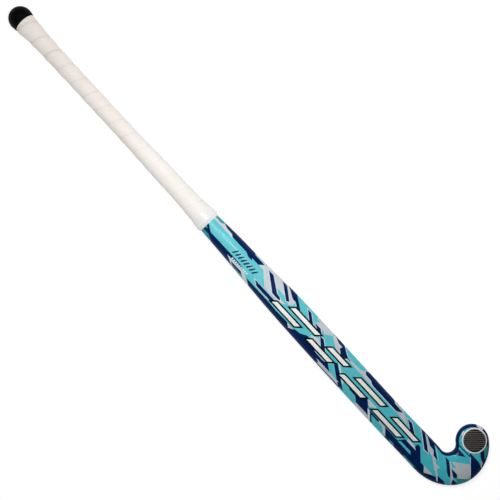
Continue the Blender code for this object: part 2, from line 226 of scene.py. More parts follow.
def fan_station(angle):
    """A section of the head's bend, on a ray from the throat's centre."""
    thickness = mix(HEAD_THICKNESS, TOE_THICKNESS, (angle + pi / 2) / (FAN_END + pi / 2))
    heel_end, toe_end = (swung(THROAT_CENTRE, reach, angle) for reach in (outer_reach(angle), THROAT_RADIUS))
    return Station(heel_end, toe_end, thickness)


def toe_axes(x, y):
    """Plan point to toe axes: along the last ray of the fan, and up the toe at right angles to it."""
    dx, dy = x - THROAT_CENTRE[0], y - THROAT_CENTRE[1]
    return dx * cos(FAN_END) + dy * sin(FAN_END), dy * cos(FAN_END) - dx * sin(FAN_END)


def from_toe_axes(across, up):
    return swung(swung(THROAT_CENTRE, across, FAN_END), up, FAN_END + pi / 2)


TOE_ACROSS, TOE_UP = toe_axes(*TOE_CENTRE)
UPPER_ACROSS, UPPER_UP = toe_axes(*UPPER_CENTRE)
TOE_TIP = TOE_UP + TOE_RADIUS


def toe_station(up):
    """A section of the toe, this far up from the last ray of the fan."""
    toe_half = sqrt(max(TOE_RADIUS**2 - (up - TOE_UP) ** 2, 0.0))
    if up < THROAT_RADIUS * sin(THROAT_SWING - FAN_END):
        near = sqrt(THROAT_RADIUS**2 - up**2)
    else:
        near = TOE_ACROSS - toe_half
    if up < TOE_UP + TOE_RADIUS * sin(TOE_SWING - FAN_END):
        far = UPPER_ACROSS + sqrt(UPPER_RADIUS**2 - (up - UPPER_UP) ** 2)
    else:
        far = TOE_ACROSS + toe_half
    return Station(from_toe_axes(far, up), from_toe_axes(near, up), TOE_THICKNESS, tip_depth=TOE_TIP - up)


def back_height(x, y):
    """Height of the back over a plan point of the stick."""
    if x < HEAD_START:
        station = shaft_station(x)
    else:
        across, up = toe_axes(x, y)
        if up > 0 and across > 0:
            station = toe_station(up)
        else:
            station = fan_station(atan2(y - THROAT_CENTRE[1], x - THROAT_CENTRE[0]))
    from_heel = hypot(x - station.heel_end[0], y - station.heel_end[1])
    return station.back(from_heel / station.length)


WIDEST_HEEL_SIDE = max(station[1] for station in BARE_STICK)
MIDDLE_Y = (TOE_CENTRE[1] + TOE_RADIUS - WIDEST_HEEL_SIDE) / 2


def to_frame(x, y, z):
    """Station-line millimetres to the frame's metres."""
    return Vector((ORIGIN[0] + x * MM, ORIGIN[1] + (y - MIDDLE_Y) * MM, ORIGIN[2] + z * MM))


def steps(start, end, spacing):
    """Even steps from start to end, both included, no further apart than the spacing."""
    count = max(1, ceil(abs(end - start) / spacing - 1e-6))
    return [mix(start, end, i / count) for i in range(count + 1)]


# ---- Materials

PAINTS = {
    "aqua": (0.125, 0.56, 0.61),
    "teal": (0.030, 0.31, 0.34),
    "navy": (0.0006, 0.016, 0.089),
    "grey": (0.59, 0.645, 0.68),
    "keyline": (0.68, 0.72, 0.82),
    "white": (0.90, 0.885, 0.86),
    "black": (0.003, 0.003, 0.004),
}
# Painted shade and haze: darker, less red copies of two paints that take over towards the head, where the key
# light falls off.
HEAD_SHADED_PAINTS = {"aqua": (0.060, 0.53, 0.62), "grey": (0.53, 0.59, 0.62)}
RING_WHITE = (0.96, 0.97, 0.97)
# Where along the stick the painted shade of the head colours comes in.
HEAD_SHADE_SPAN = (540, 890)
BUTT_TINT_SPAN = (60, 260)
REMAP_INPUTS = ("From Min", "From Max", "To Min", "To Max")


class Nodes:
    """A short way to write a node material."""

    def __init__(self, name):
        self.material = bpy.data.materials.new(name)
        self.material.use_nodes = True
        self.tree = self.material.node_tree
        self.shader = self.tree.nodes["Principled BSDF"]
        self.place = self.add("ShaderNodeTexCoord").outputs["Object"]

    def add(self, kind, **settings):
        node = self.tree.nodes.new(kind)
        for key, value in settings.items():
            setattr(node, key, value)
        return node

    def link(self, source, target):
        self.tree.links.new(source, target)

    def noise(self, size, detail=3.0, roughness=0.5):
        """Noise whose features are about this many millimetres across."""
        node = self.add("ShaderNodeTexNoise")
        node.inputs["Scale"].default_value = 1.0 / (size * MM)
        node.inputs["Detail"].default_value = detail
        node.inputs["Roughness"].default_value = roughness
        self.link(self.place, node.inputs["Vector"])
        return node.outputs["Fac"]

    def drift(self, size, low, high, detail=3.0):
        """A value that drifts between two numbers over the surface."""
        return self.remap(self.noise(size, detail), 0.3, 0.7, low, high)

    def cells(self, size):
        node = self.add("ShaderNodeTexVoronoi")
        node.inputs["Scale"].default_value = 1.0 / (size * MM)
        self.link(self.place, node.inputs["Vector"])
        return node.outputs["Distance"]

    def along_stick(self, start, end):
        """Rises from 0 to 1 between two places along the stick."""
        split = self.add("ShaderNodeSeparateXYZ")
        self.link(self.place, split.inputs[0])
        return self.remap(split.outputs["X"], to_frame(start, 0, 0).x, to_frame(end, 0, 0).x, 0.0, 1.0)

    def remap(self, value, low, high, to_low, to_high):
        node = self.add("ShaderNodeMapRange")
        for name, number in zip(REMAP_INPUTS, (low, high, to_low, to_high)):
            node.inputs[name].default_value = number
        self.link(value, node.inputs["Value"])
        return node.outputs["Result"]

    def blend(self, share, first, second):
        """Mixes two colours, each a link or three plain numbers."""
        node = self.add("ShaderNodeMix", data_type="RGBA")
        self.link(share, node.inputs[0])
        for value, place in ((first, 6), (second, 7)):
            if isinstance(value, tuple):
                node.inputs[place].default_value = (*value, 1.0)
            else:
                self.link(value, node.inputs[place])
        return node.outputs[2]

    def color(self, share, first, second):
        """Colours the surface with a mix of two colours."""
        self.link(self.blend(share, first, second), self.shader.inputs["Base Color"])

    def roughness(self, value):
        self.link(value, self.shader.inputs["Roughness"])

    def bump(self, *layers):
        """Stacks bump layers, each a height and its depth in millimetres."""
        normal = None
        for height, depth in layers:
            node = self.add("ShaderNodeBump")
            node.inputs["Strength"].default_value = 1.0
            node.inputs["Distance"].default_value = depth * MM
            self.link(height, node.inputs["Height"])
            if normal is not None:
                self.link(normal, node.inputs["Normal"])
            normal = node.outputs["Normal"]
        self.link(normal, self.shader.inputs["Normal"])

    def finish(self, **values):
        """Sets the shader's plain values and hands the material over."""
        for key, value in values.items():
            self.shader.inputs[key.replace("_", " ")].default_value = value
        return self.material


def shade(color, factor):
    return tuple(min(channel * factor, 1.0) for channel in color)


def lacquered_print(name, color, head_shaded_color=None):
    """Printed artwork under clear lacquer, with a faint mottle and orange peel; given a head colour, it
    darkens and loses red towards the head, which is painted shade where the key light falls off and a painted
    reflection haze nearer the light.
    """
    made = Nodes(f"lacquered_{name}")
    mottle = made.drift(14, 0.0, 1.0, detail=4)
    ink = made.blend(mottle, shade(color, 0.93), shade(color, 1.06))
    # Painted shade: the colour darkens and loses red towards the head.
    if head_shaded_color:
        head_shaded_ink = made.blend(mottle, shade(head_shaded_color, 0.93), shade(head_shaded_color, 1.06))
        ink = made.blend(made.along_stick(*HEAD_SHADE_SPAN), ink, head_shaded_ink)
    specks = made.remap(made.noise(0.35, detail=1), 0.62, 0.75, 0.0, 0.12)
    made.color(specks, ink, shade(color, 1.5))
    made.roughness(made.drift(30, 0.44, 0.54))
    made.bump((made.noise(1.6, detail=1), 0.006), (made.noise(9, detail=1), 0.015))
    return made.finish(Specular_IOR_Level=0.05, Coat_Weight=0.12, Coat_Roughness=0.09, Coat_IOR=1.48)


def floor_material():
    made = Nodes("lit_white_floor")
    made.color(made.noise(400), (0.34, 0.34, 0.34), (0.36, 0.36, 0.36))
    glow = {"Emission_Color": (1, 1, 1, 1), "Emission_Strength": 0.82}
    return made.finish(Roughness=0.95, Specular_IOR_Level=0.1, **glow)


def grip_tape_material():
    """Soft polyurethane tape: fine grain, small creases, a little grime where it is handled, and painted
    shade along the lap seams.
    """
    made = Nodes("white_grip_tape")
    broad = made.remap(made.noise(45, detail=5), 0.35, 0.7, 0.0, 1.0)
    near_butt = made.blend(broad, (0.905, 0.85, 0.80), (0.86, 0.775, 0.705))
    near_collar = made.blend(broad, (0.88, 0.845, 0.81), (0.85, 0.79, 0.745))
    clean = made.blend(made.along_stick(*BUTT_TINT_SPAN), near_butt, near_collar)
    grime = made.remap(made.noise(3.0, detail=6, roughness=0.7), 0.52, 0.72, 0.0, 0.35)
    handled = made.blend(grime, clean, (0.66, 0.58, 0.53))
    # Painted shade: the colour darkens towards a brownish grey along the lap seams of the winding.
    seam = made.add("ShaderNodeAttribute", attribute_name="seam_shade").outputs["Fac"]
    made.color(made.remap(seam, 0, 1, 0, 0.3), handled, (0.56, 0.48, 0.44))
    made.roughness(made.drift(6, 0.5, 0.68))
    grain, pores, creases = made.noise(0.45, detail=2), made.noise(2.2), made.noise(8, detail=2)
    made.bump((grain, 0.05), (pores, 0.09), (creases, 0.16))
    return made.finish(Specular_IOR_Level=0.2)


def finishing_tape_material():
    made = Nodes("white_finishing_tape")
    made.color(made.noise(12), (0.80, 0.79, 0.80), (0.84, 0.825, 0.83))
    made.roughness(made.drift(5, 0.28, 0.38))
    made.bump((made.noise(3.5, detail=2), 0.05))
    return made.finish(Specular_IOR_Level=0.35, Coat_Weight=0.12, Coat_Roughness=0.14)


def rubber_material():
    made = Nodes("black_rubber")
    dust = made.remap(made.noise(4, detail=5), 0.5, 0.8, 0.0, 0.3)
    made.color(dust, (0.0015, 0.0015, 0.0016), (0.004, 0.0039, 0.0038))
    made.roughness(made.drift(7, 0.5, 0.7))
    made.bump((made.noise(0.5, detail=2), 0.04))
    return made.finish(Specular_IOR_Level=0.06)


BADGE_FINISH = {"Specular_IOR_Level": 0.1, "Coat_Weight": 0.08, "Coat_Roughness": 0.15}


def badge_material():
    made = Nodes("dark_badge_film")
    made.color(made.noise(5, detail=4), (0.003, 0.0028, 0.0026), (0.006, 0.0055, 0.005))
    made.roughness(made.drift(3, 0.4, 0.5))
    made.bump((made.noise(0.8, detail=1), 0.01))
    return made.finish(**BADGE_FINISH)


def hatch_material():
    made = Nodes("badge_hatching")
    made.color(made.noise(2), (0.15, 0.145, 0.14), (0.19, 0.18, 0.17))
    made.roughness(made.drift(3, 0.4, 0.5))
    return made.finish(**BADGE_FINISH)


def laminate_material():
    """Woven carbon laminate: crossed tows seen through resin."""
    made = Nodes("carbon_laminate")
    tows = []
    for turn in (45, -45):
        turned = made.add("ShaderNodeMapping")
        turned.inputs["Rotation"].default_value = (0, 0, radians(turn))
        made.link(made.place, turned.inputs["Vector"])
        wave = made.add("ShaderNodeTexWave")
        wave.inputs["Scale"].default_value = 1 / (12 * MM)
        made.link(turned.outputs["Vector"], wave.inputs["Vector"])
        tows.append(wave.outputs["Fac"])
    weave = made.add("ShaderNodeMath", operation="MULTIPLY")
    made.link(tows[0], weave.inputs[0])
    made.link(tows[1], weave.inputs[1])
    made.color(weave.outputs[0], (0.012, 0.012, 0.013), (0.05, 0.05, 0.054))
    made.roughness(made.remap(weave.outputs[0], 0, 1, 0.5, 0.32))
    made.bump((weave.outputs[0], 0.05))
    return made.finish()


def foam_material(name, color, cell):
    made = Nodes(name)
    cells = made.cells(cell)
    made.color(made.remap(cells, 0, 0.6, 0, 1), shade(color, 0.8), color)
    made.roughness(made.remap(cells, 0, 0.6, 0.95, 0.82))
    made.bump((cells, 0.2 * cell))
    return made.finish()


def film_material():
    made = Nodes("nylon_film")
    made.color(made.noise(10), (0.70, 0.71, 0.66), (0.78, 0.79, 0.74))
    made.roughness(made.drift(4, 0.3, 0.45))
    made.bump((made.noise(12), 0.15))
    return made.finish()


def aramid_material():
    made = Nodes("aramid_laminate")
    cells = made.noise(1.8, detail=2)
    made.color(cells, (0.62, 0.48, 0.10), (0.78, 0.63, 0.18))
    made.roughness(made.remap(cells, 0.3, 0.7, 0.5, 0.7))
    made.bump((cells, 0.05))
    return made.finish()


# ---- Printed artwork. Plan outlines in millimetres, painted in order, on an aqua ground.

FAR = 60.0

BACK_ARTWORK = [
    # Upper shaft: bands along the stick.
    ("teal", [(400, 12), (400, FAR), (425, FAR), (425, 16), (421, 12.3)]),
    ("grey", [(400, 9.3), (400, 12), (421, 12.3), (425, 14.5), (431, 13), (443, 12.6), (447, 9.3)]),
    ("navy", [(425, FAR), (425, 15.7), (431, 13.2), (442, 13), (446, 10.5), (498, 10.5), (505, 16.8),
        (487, 17), (480, 20), (480, FAR)]),
    ("navy", [(473, 11), (480, 8), (488, 8), (485, 11)]),
    ("grey", [(480, FAR), (480, 19.5), (487, 17.4), (505, 17.2), (498, 10.5), (508, 11), (527, -4.4),
        (556, -4.6), (572, 8), (568, 24), (568, FAR)]),
    ("navy", [(400, -1), (410, -1), (420, -7), (481, -7), (489, -9.5), (461, -11), (470, -14.5),
        (488, -18), (488, -FAR), (400, -FAR)]),
    ("aqua", [(400, -5), (410, -5), (413.5, -7), (400, -7)]),
    ("teal", [(400, -11), (419, -11), (429, -15), (429, -FAR), (400, -FAR)]),
    ("grey", [(458, -11), (492, -11), (511, -19.5), (511, -FAR), (476, -FAR), (476, -18.5), (464, -13.5)]),
    ("navy", [(468, -13.6), (489, -13.6), (494, -16.6), (474, -16.6)]),
    ("teal", [(474, -17), (494, -17), (500, -20), (500, -FAR), (478, -FAR), (478, -19)]),
    # Middle shaft, toe side: slanted shards.
    ("navy+", [(513.5, 16.5), (523, 16.5), (545, 2.8), (552, 1.8), (555, -1), (549, -1.9), (540, -1.8)]),
    ("aqua", [(540, 8.3), (560, 8.3), (568, 2), (556, 0.8), (552, 2.4), (546, 3.4)]),
    ("navy+", [(538, 20.3), (547, 20.3), (565, 7.5), (561, 4.8)]),
    ("navy+", [(547, FAR), (547, 22.5), (554, 19.5), (565, 13.6), (571, 13.6), (577, 10.2), (585, 10.2),
               (566, 22), (566, FAR)]),
    ("aqua", [(566, FAR), (566, 22), (585, 10), (612, 10), (612, 14), (600, 20.5), (604, FAR)]),
    ("navy+", [(590, 19.5), (597, 19.5), (611, 10), (603, 10)]),
    ("grey", [(607, FAR), (609, 20), (616, 19.5), (610, 15.5), (628, 14.5), (632, 12), (641, 19),
        (650, FAR)]),
    ("navy+", [(611, 14), (622, 14), (629, 9.4), (620, 9.4)]),
    ("aqua", [(631, 12.5), (640, 18.7), (659, 7.5), (646, 5)]),
    ("grey", [(641, 19.5), (645, 22.5), (665, 18.6), (668, 9), (661, 8)]),
    ("navy+", [(645, FAR), (645, 22.5), (654, 18.8), (662, 18.8), (660, 15), (668, 9.5), (675, 9.8),
               (678, 13), (686, 13.2), (685, 14.4), (677, 14.8), (670, 18.5), (663, 22.5), (663, FAR)]),
    ("grey", [(681, 12.3), (687, 15.5), (701, 15.8), (709, 18.8), (714, 17), (725, 15.5), (732, 12.3)]),
    ("navy+", [(716, FAR), (716, 23), (709, 20), (713, 16.8), (724, 16.4), (730, 13.4), (780, 13.4),
               (790, 19), (772, 19.6), (767, 22.5), (766, FAR)]),
    # Middle shaft, heel side.
    ("navy", [(500, -13.8), (543, -13.8), (560, -14.5), (596, -13.4), (608, -11), (616, -6), (621, -6.3),
        (630, -11), (642, -13.5), (655, -14), (662, -10), (675, -18), (700, -18), (700, -FAR),
        (511, -FAR), (511, -19.8)]),
    ("navy+", [(510, -6.3), (558, -6.3), (549, -11.3), (518, -11.3)]),
    ("grey", [(584, -14), (598, -14), (590, -18.2)]),
    ("grey", [(619, -2), (629, 3), (640, -3), (652, -8), (660, -13), (640, -13), (628, -10)]),
    ("navy+", [(628, 7), (636, 7), (655, -7), (645, -7)]),
    ("aqua", [(659, -4), (670, -4), (687, -18), (675, -18)]),
    ("keyline", [(674, -0.8), (676, 0.4), (700, -14.4), (700, -16.6)]),
    ("navy", [(668, -4), (673, -1), (696, -15.2), (708, -22), (696, -22), (690, -18)]),
    ("aqua", [(681, 2), (694, 0), (704, -7), (694, -11)]),
    ("grey", [(648, -17.8), (695, -18), (692, -19.6), (698, -21.8), (652, -21.8), (655, -20)]),
    ("navy", [(704, -7), (716, -4), (738, -4), (747, -10), (757, -19.6), (731, -19.6), (724, -14),
        (712, -14)]),
    ("grey", [(740, -4.2), (756, -4.2), (750, -9.8), (746, -9.8)]),
    ("keyline", [(725, -3.6), (757, -3.6), (757, -4.6), (724, -4.6)]),
    ("aqua", [(701, -14), (724, -14), (732, -19.6), (732, -FAR), (709, -FAR), (709, -22)]),
    ("grey", [(732, -19.6), (755, -19.6), (763, -23.5), (763, -FAR), (732, -FAR)]),
    ("navy", [(754, -13), (773, -13), (775, -15.5), (760, -15.5), (770, -23.5), (770, -FAR), (767, -FAR),
        (767, -23.5)]),
    ("keyline", [(749, -13), (753, -13), (766, -23.5), (766, -FAR), (762, -FAR), (762, -23.5)]),
    ("grey", [(773, -13), (786, -13), (797, -22), (792, -22), (783, -15.5), (775, -15.5)]),
    # Head end of the shaft.
    ("grey", [(768, FAR), (768, 23), (773, 20.3), (790, 20.3), (794, FAR)]),
    ("grey", [(782, 12.4), (790, 18.6), (795, 18.6), (807, 11)]),
    ("navy+", [(800, 18.3), (809, 18.3), (823, 10), (813, 10)]),
    ("navy+", [(824.5, FAR), (824.5, 22.5), (847, 6), (855, 6.5), (834, 21.5), (834, FAR)]),
    ("navy", [(786, -13), (812, -13), (818, -4), (834, -4), (836, 4.5), (841, 4), (857, -10), (864, -10.3),
        (871, -17), (882, -10.5), (886, -9), (887.5, -5), (900, -4.5), (906, -6.5), (915, -12),
        (911, -FAR), (797, -FAR), (797, -22)]),
    ("aqua", [(813, -13.5), (816, -10.2), (836, -10.2), (840, -13.5)]),
    ("teal", [(804, -20.5), (812, -20), (818, -24), (812, -26)]),
    ("teal", [(836, -20.5), (858, -20.5), (856, -23), (834, -23)]),
    ("keyline", [(820, -0.5), (834, -0.5), (840, -3.8), (822, -3.8)]),
    # Bend.
    ("grey", [(833, FAR), (833, 22.3), (847, 14), (850, 10), (862, 7.5), (874, -1), (882, -4.5), (892, -11.5),
        (895, -11.5), (879, 1), (882, 5), (873, 4.3), (868, 8.3), (857, 14.6), (849, 15.3),
        (837, 22.3), (837, FAR)]),
    ("navy", [(838, FAR), (838, 22.3), (849.5, 15.5), (857, 15), (863, 9.5), (871, 9.5), (854, 20.5),
        (852, 22.3), (852, FAR)]),
    ("keyline", [(853, FAR), (853, 22.3), (872, 9.8), (873, 9.8), (854.5, 22.3), (854.5, FAR)]),
    ("grey", [(863, -9.7), (883, -9.5), (872, -16.5)]),
    ("navy", [(876, 20.8), (883, 20.8), (903, 6), (898, 5), (893, 7.3)]),
    ("grey", [(883.5, 21), (887, 21), (898, 13.5), (912.5, 2), (911, -1.5), (903, 5)]),
    ("grey", [(887, 23), (906.5, 38.8), (922.5, 27), (920, 20), (909, 12), (904, 16), (897, 16), (892, 18),
        (897.5, 21)]),
    ("navy", [(894, 15.2), (897, 15.8), (905, 15.8), (909, 12), (904, 9)]),
    ("navy", [(906, 6.8), (925, 8), (925, -2), (909, 1.5)]),
    ("teal", [(908.5, 11.5), (922.5, 24), (932, 20), (926, 8), (914, 8)]),
    ("navy", [(868, 20.5), (875, 21.5), (879.5, 26), (881.5, 31), (895.5, 41.6), (876, 42.2), (870, 40)]),
    ("navy", [(874, 46.4), (899, 47.2), (899, 45.7), (874, 44.8)]),
    # Toe.
    ("keyline", [(900, 45.2), (901, 46.2), (922.5, 26.8), (921.6, 25.8)]),
    ("navy", [(895, 48.5), (896, 50), (913, 50.2), (921, 47.8), (940, 47), (940, 24), (923, 26.2),
        (908.5, 38.6), (901, 45.8)]),
    ("navy", [(890.5, 95), (890.5, 84.5), (903, 75), (903, 62), (911, 56), (915, 54), (921, 47.8), (940, 47),
        (940, 70), (915, 90)]),
    ("teal", [(903.5, 74.5), (907, 74.5), (912, 69), (917.5, 60), (915.5, 59.5), (904, 69)]),
    ("grey", [(913, 55), (918, 53.5), (923.5, 47.5), (921, 47.5)]),
    ("navy", [(855, 58), (863.5, 68), (865.5, 73), (876.5, 81.5), (874, 90), (860, 88), (855, 75)]),
]


def arc(centre, radius, start, end, spacing=9.0):
    """Points along an arc; angles in degrees."""
    return [swung(centre, radius, radians(turn)) for turn in steps(start, end, spacing)]


def slanted(left, low, width, height, lean):
    """A leaning bar: its foot's left end, its width along the stick and its height across it."""
    foot = [(left, low), (left + width, low)]
    return foot + [(x + lean, y + height) for x, y in reversed(foot)]


RIM = 3.6
LONG_TICKS, LONG_TICK_PITCH = 8, 5.6
FINE_TICKS, FINE_TICK_PITCH = 9, 3.6
BACK_ARTWORK += [
    ("navy", slanted(460 + LONG_TICK_PITCH * i, -4, 2.6, 7.6, 4.6)) for i in range(LONG_TICKS)
]
BACK_ARTWORK += [
    ("white", slanted(466 + FINE_TICK_PITCH * i, -10.6, 1.8, 2.2, 1.0)) for i in range(FINE_TICKS)
]
BACK_ARTWORK += [
    ("navy", arc(TOE_CENTRE, 40, 52, 240) + arc(TOE_CENTRE, TOE_RADIUS - RIM, 240, 62)),
    ("navy", arc(THROAT_CENTRE, THROAT_RADIUS + RIM, -80, 62) + arc(THROAT_CENTRE, 2, 62, -95, 30)),
    ("navy", [(822, FAR), (822, 23), (845, 21.6), (862, 20.3), (871, 19.8), (873, 24), (866, FAR)]),
    ("keyline", [(867, 64.5), (868.5, 64.5), (869.5, 60.5), (872, 59), (870.5, 57.8), (867.8, 59.5)]),
    ("keyline", [(874, 83), (880, 82.4), (885, 84.5), (885, 87), (877, 86.4)]),
]

# The flat face is not seen in the photograph. It gets the same kind of shards.
FACE_ARTWORK = [
    ("navy", [(400, 20), (400, -20), (470, -20), (520, 20)]),
    ("grey", [(520, 20), (470, -20), (492, -20), (542, 20)]),
    ("navy+", [(556, 20), (506, -20), (530, -20), (580, 20)]),
    ("grey", [(640, 20), (600, -20), (632, -20), (672, 20)]),
    ("navy+", [(690, 20), (650, -20), (664, -20), (704, 20)]),
    ("navy+", [(730, 20), (690, -20), (742, -20), (782, 20)]),
    ("grey", [(782, 20), (742, -20), (752, -20), (792, 20)]),
    ("navy+", [(824, 20), (790, -20), (806, -20), (846, 25)]),
    ("grey", [(866, 26), (822, -20), (836, -22), (888, 30)]),
    ("navy", [(850, -30), (892, 12), (930, 30), (940, -30)]),
    ("teal", [(892, 12), (884, 4), (918, 14), (924, 27)]),
    ("navy+", [(870, 44), (900, 36), (930, 44), (930, 54), (900, 48), (866, 52)]),
    ("grey", [(866, 66), (898, 60), (922, 66), (916, 74), (896, 69), (863, 74)]),
]
KEYLINE_WIDTH = 0.9
LONGEST_MITER = 2.5
CUT_MARGIN = 0.01
CUT_MERGE = 0.02


def sides(outline):
    """The sides of a polygon, each as its two ends."""
    return zip(outline, outline[1:] + outline[:1])


def widened(outline, width):
    """A polygon with every side moved outwards."""
    area = 0.0
    for (x0, y0), (x1, y1) in sides(outline):
        area += x0 * y1 - x1 * y0
    outwards = width if area > 0 else -width
    moved = []
    for i, (x, y) in enumerate(outline):
        before, after = outline[i - 1], outline[(i + 1) % len(outline)]
        first = Vector((x - before[0], y - before[1])).normalized()
        second = Vector((after[0] - x, after[1] - y)).normalized()
        first_normal = Vector((first.y, -first.x))
        miter = (first_normal + Vector((second.y, -second.x))).normalized()
        reach = outwards / max(miter.dot(first_normal), 1 / LONGEST_MITER)
        moved.append((x + miter.x * reach, y + miter.y * reach))
    return moved


def inside(outline, x, y):
    """Whether a point is in a polygon, by counting the sides to its right."""
    found = False
    for (x0, y0), (x1, y1) in sides(outline):
        if (y0 > y) != (y1 > y) and x < x0 + (y - y0) / (y1 - y0) * (x1 - x0):
            found = not found
    return found


def span_of(points, margin=0.0):
    """The box round a few plan points: lowest and highest x, lowest and highest y."""
    xs, ys = [point[0] for point in points], [point[1] for point in points]
    return min(xs) - margin, max(xs) + margin, min(ys) - margin, max(ys) + margin


def within(faces, box):
    """Those of the flat-laid faces whose own boxes meet a box."""
    found = []
    for face in faces:
        span = span_of([vert.co for vert in face.verts])
        if span[0] < box[1] and span[1] > box[0] and span[2] < box[3] and span[3] > box[2]:
            found.append(face)
    return found


def cut_and_paint(bm, zone_layer, zone, outline, slot):
    """Cuts the flat-laid faces of a zone along an outline and gives those within it a material."""
    zone_faces = [face for face in bm.faces if face[zone_layer] == zone]
    near = set(within(zone_faces, span_of(outline)))
    for start, end in sides(outline):
        crossed = within(near, span_of((start, end), CUT_MARGIN))
        if not crossed:
            continue
        geometry = set(crossed)
        for face in crossed:
            geometry.update(face.edges)
            geometry.update(face.verts)
        across = (end[1] - start[1], start[0] - end[0], 0)
        cut = bmesh.ops.bisect_plane(
            bm, geom=list(geometry), dist=CUT_MERGE, plane_co=(*start, 0), plane_no=across
        )
        near = {face for face in near if face.is_valid}
        near.update(item for item in cut["geom"] if isinstance(item, bmesh.types.BMFace))
    for face in near:
        middle = face.calc_center_median()
        if inside(outline, middle.x, middle.y):
            face.material_index = slot


def paint_zone(bm, zone, flat, artwork, slots):
    """Lays the mesh out flat and paints the artwork of one zone, in order."""
    zone_layer = bm.faces.layers.int["zone"]
    for vert in bm.verts:
        vert.co = vert[flat]
    for name, outline in artwork:
        color = name.rstrip("+")
        if name.endswith("+"):
            cut_and_paint(bm, zone_layer, zone, widened(outline, KEYLINE_WIDTH), slots.index("keyline"))
        cut_and_paint(bm, zone_layer, zone, outline, slots.index(color))


# ---- Pieces

FILM_FOLD = radians(40)
WRAP_FOLD = radians(50)


def make_object(name, bm, materials, normals=None, sharp_from=None):
    """A smooth mesh object, with its own normals or with edges sharp from an angle upwards."""
    mesh = bpy.data.meshes.new(name)
    bm.to_mesh(mesh)
    bm.free()
    mesh.shade_smooth()
    for material in materials:
        mesh.materials.append(material)
    if normals:
        mesh.normals_split_custom_set_from_vertices(normals)
    if sharp_from:
        mesh.set_sharp_from_angle(angle=sharp_from)
    piece = bpy.data.objects.new(name, mesh)
    bpy.context.scene.collection.objects.link(piece)
    return piece


def settle(piece, slot, *nodes):
    """Makes a piece ride on the stick and stand for its CAD nodes."""
    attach(piece, "root")
    if nodes:
        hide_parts(*nodes)


def join_rings(bm, first, second):
    """A closed band of four-sided faces between two rings with as many points."""
    faces = []
    for i in range(len(first)):
        j = (i + 1) % len(first)
        faces.append(bm.faces.new((first[i], first[j], second[j], second[i])))
    return faces


def full_turn(points):
    return [2 * pi * i / points for i in range(points)]


SKIN_SHOWS_FROM = 388
HIDDEN_SPACING = 16
SHOWN_SPACING = 2.2
BEND_SPACING = radians(2.2)
TOE_SPACING = 2.0
TIP_SPACING = radians(4)
TIP_SLIVER = 0.01
DOME_STEPS = 34
CORNER_STEPS = 6
FACE_STEPS = 10
UNDERSIDE_SPREAD = 6.5
BACK_ZONE, FACE_ZONE = 1, 2


def skin_stations():
    """Sections of the whole stick, close together where the skin shows."""
    stations = [shaft_station(x) for x in steps(BUTT_END, SKIN_SHOWS_FROM, HIDDEN_SPACING)]
    stations += [shaft_station(x) for x in steps(SKIN_SHOWS_FROM, HEAD_START, SHOWN_SPACING)[1:]]
    stations += [fan_station(angle) for angle in steps(-pi / 2, FAN_END, BEND_SPACING)]
    stations += [toe_station(up) for up in steps(0, TOE_UP, TOE_SPACING)[1:]]
    tip_turns = steps(0, pi / 2, TIP_SPACING)[1:-1]
    stations += [toe_station(TOE_UP + TOE_RADIUS * sin(turn)) for turn in tip_turns]
    stations.append(toe_station(TOE_TIP - TIP_SLIVER))
    return stations


def skin_ring(bm, station, layers):
    """One ring of the skin: heel-side corner, back, toe-side corner, then the flat face."""
    place, back_flat, face_flat = layers
    ring = []

    def add(share, height, back_at, face_at):
        x, y = station.plan(share)
        vert = bm.verts.new(to_frame(x, y, height))
        vert[place] = vert.co
        if back_at:
            vert[back_flat] = (*back_at, 0)
        if face_at:
            vert[face_flat] = (*face_at, 0)
        ring.append(vert)

    corner = station.corner / station.length
    for side in (0, 1):
        if side == 1:
            for i in range(DOME_STEPS + 1):
                share = (1 - cos(pi * i / DOME_STEPS)) / 2
                add(share, station.back(share), station.plan(share), None)
        order = range(CORNER_STEPS, 0, -1) if side == 0 else range(1, CORNER_STEPS + 1)
        for i in order:
            turn = pi / 2 * i / CORNER_STEPS
            inwards = corner * (1 - cos(turn))
            share = inwards if side == 0 else 1 - inwards
            height = station.side - (station.side - station.low) * sin(turn) * station.face_share
            beyond = UNDERSIDE_SPREAD * i / CORNER_STEPS
            unrolled = station.plan(side, -beyond if side == 0 else beyond)
            add(share, height, unrolled, station.plan(share) if i == CORNER_STEPS else None)
    for i in range(1, FACE_STEPS):
        share = mix(1 - corner, corner, i / FACE_STEPS)
        add(share, station.face(share), None, station.plan(share))
    return ring


def make_skin():
    bm = bmesh.new()
    layers = [bm.verts.layers.float_vector.new(name) for name in ("place", "back_flat", "face_flat")]
    smooth = bm.verts.layers.float_vector.new("smooth_normal")
    zone_layer = bm.faces.layers.int.new("zone")
    rings = [skin_ring(bm, station, layers) for station in skin_stations()]
    back_faces = DOME_STEPS + 2 * CORNER_STEPS
    for first, second in zip(rings, rings[1:]):
        for i, face in enumerate(join_rings(bm, first, second)):
            face[zone_layer] = BACK_ZONE if i < back_faces else FACE_ZONE
    for end in (rings[0], rings[-1]):
        bm.faces.new(end)
    bmesh.ops.recalc_face_normals(bm, faces=bm.faces)
    bm.normal_update()
    for vert in bm.verts:
        vert[smooth] = vert.normal
    slots = list(PAINTS)
    paint_zone(bm, BACK_ZONE, layers[1], BACK_ARTWORK, slots)
    paint_zone(bm, FACE_ZONE, layers[2], FACE_ARTWORK, slots)
    for vert in bm.verts:
        vert.co = vert[layers[0]]
    normals = [vert[smooth].normalized() for vert in bm.verts]
    prints = [lacquered_print(name, PAINTS[name], HEAD_SHADED_PAINTS.get(name)) for name in slots]
    skin = make_object("painted_skin", bm, prints, normals)
    settle(skin, "lacquered_composite", "composite_skin")


FILM_LOW, FILM_HIGH = 0.05, 0.15


